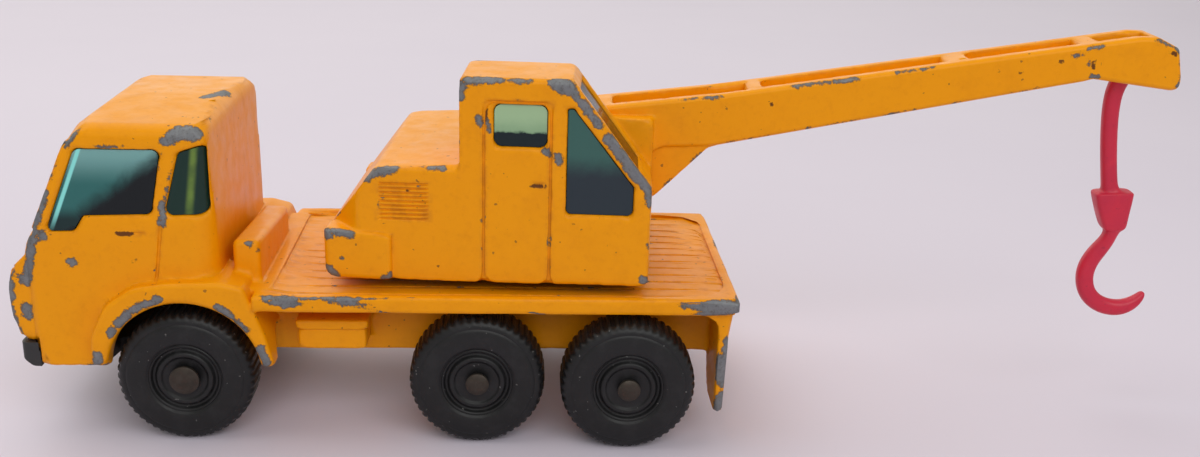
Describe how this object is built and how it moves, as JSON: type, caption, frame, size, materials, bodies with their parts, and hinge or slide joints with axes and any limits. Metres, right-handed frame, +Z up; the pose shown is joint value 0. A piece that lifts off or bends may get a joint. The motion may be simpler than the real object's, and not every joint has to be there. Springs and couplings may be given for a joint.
{
  "type": "toy crane truck",
  "caption": "Pocket-size die-cast toy lorry with a slewing crane, a fixed boom, a swinging hook, a tinted cab, and free-rolling plastic wheels on steel axles.",
  "frame": {"origin": "on the ground, below the middle of the whole toy's box", "axes": "+X from the nose to the tail and the boom's tip, +Y to the driver's right as the truck faces -X, +Z up"},
  "size_m": [0.1152, 0.0308, 0.0407],
  "materials": {
    "yellow_enamel": "gloss enamel on zinc, chipped to bare grey metal at the edges",
    "tinted_glazing": "blue-green tinted clear plastic",
    "black_plastic": "satin black",
    "wheel_plastic": "charcoal moulded plastic, slightly worn",
    "plain_steel": "dull, lightly tarnished",
    "red_plastic": "satin crimson"
  },
  "bodies": {
    "truck": {"body_casting": "yellow_enamel", "cab_glazing": "tinted_glazing", "base_plate": "black_plastic"},
    "crane": {"crane_casting": "yellow_enamel", "crane_glazing": "tinted_glazing", "crane_base": "black_plastic", "slew_rivet": "plain_steel", "hook_pin": "plain_steel"},
    "hook": {"hook": "red_plastic"},
    "axle_front": {"axle_front": "plain_steel"},
    "wheel_front_left": {"wheel_front_left": "wheel_plastic"},
    "wheel_front_right": {"wheel_front_right": "wheel_plastic"},
    "axle_mid": {"axle_mid": "plain_steel"},
    "wheel_mid_left": {"wheel_mid_left": "wheel_plastic"},
    "wheel_mid_right": {"wheel_mid_right": "wheel_plastic"},
    "axle_rear": {"axle_rear": "plain_steel"},
    "wheel_rear_left": {"wheel_rear_left": "wheel_plastic"},
    "wheel_rear_right": {"wheel_rear_right": "wheel_plastic"}
  },
  "joints": [
    {"name": "crane_slew", "type": "hinge", "parent": "truck", "child": "crane", "pos_m": [-0.01072, 0, 0.0152], "axis": [0, 0, 1], "range_deg": [-143.1, 150.9]},
    {"name": "hook_swing", "type": "hinge", "parent": "crane", "child": "hook", "pos_m": [0.05228, -0.0043, 0.0379], "axis": [0.068, 0.9977, 0], "range_deg": [-50, 38]},
    {"name": "axle_front_turn", "type": "hinge", "parent": "truck", "child": "axle_front", "pos_m": [-0.04109, 0, 0.00664], "axis": [0, 1, 0], "continuous": true},
    {"name": "wheel_front_left_turn", "type": "hinge", "parent": "axle_front", "child": "wheel_front_left", "pos_m": [-0.04109, -0.01358, 0.00664], "axis": [0, 1, 0], "continuous": true},
    {"name": "wheel_front_right_turn", "type": "hinge", "parent": "axle_front", "child": "wheel_front_right", "pos_m": [-0.04109, 0.01422, 0.00664], "axis": [0, 1, 0], "continuous": true},
    {"name": "axle_mid_turn", "type": "hinge", "parent": "truck", "child": "axle_mid", "pos_m": [-0.01288, 0, 0.00664], "axis": [0, 1, 0], "continuous": true},
    {"name": "wheel_mid_left_turn", "type": "hinge", "parent": "axle_mid", "child": "wheel_mid_left", "pos_m": [-0.01288, -0.01417, 0.00664], "axis": [0, 1, 0], "continuous": true},
    {"name": "wheel_mid_right_turn", "type": "hinge", "parent": "axle_mid", "child": "wheel_mid_right", "pos_m": [-0.01288, 0.01363, 0.00664], "axis": [0, 1, 0], "continuous": true},
    {"name": "axle_rear_turn", "type": "hinge", "parent": "truck", "child": "axle_rear", "pos_m": [0.0019, 0, 0.00664], "axis": [0, 1, 0], "continuous": true},
    {"name": "wheel_rear_left_turn", "type": "hinge", "parent": "axle_rear", "child": "wheel_rear_left", "pos_m": [0.0019, -0.0154, 0.00664], "axis": [0, 1, 0], "continuous": true},
    {"name": "wheel_rear_right_turn", "type": "hinge", "parent": "axle_rear", "child": "wheel_rear_right", "pos_m": [0.0019, 0.0124, 0.00664], "axis": [0, 1, 0], "continuous": true}
  ]
}
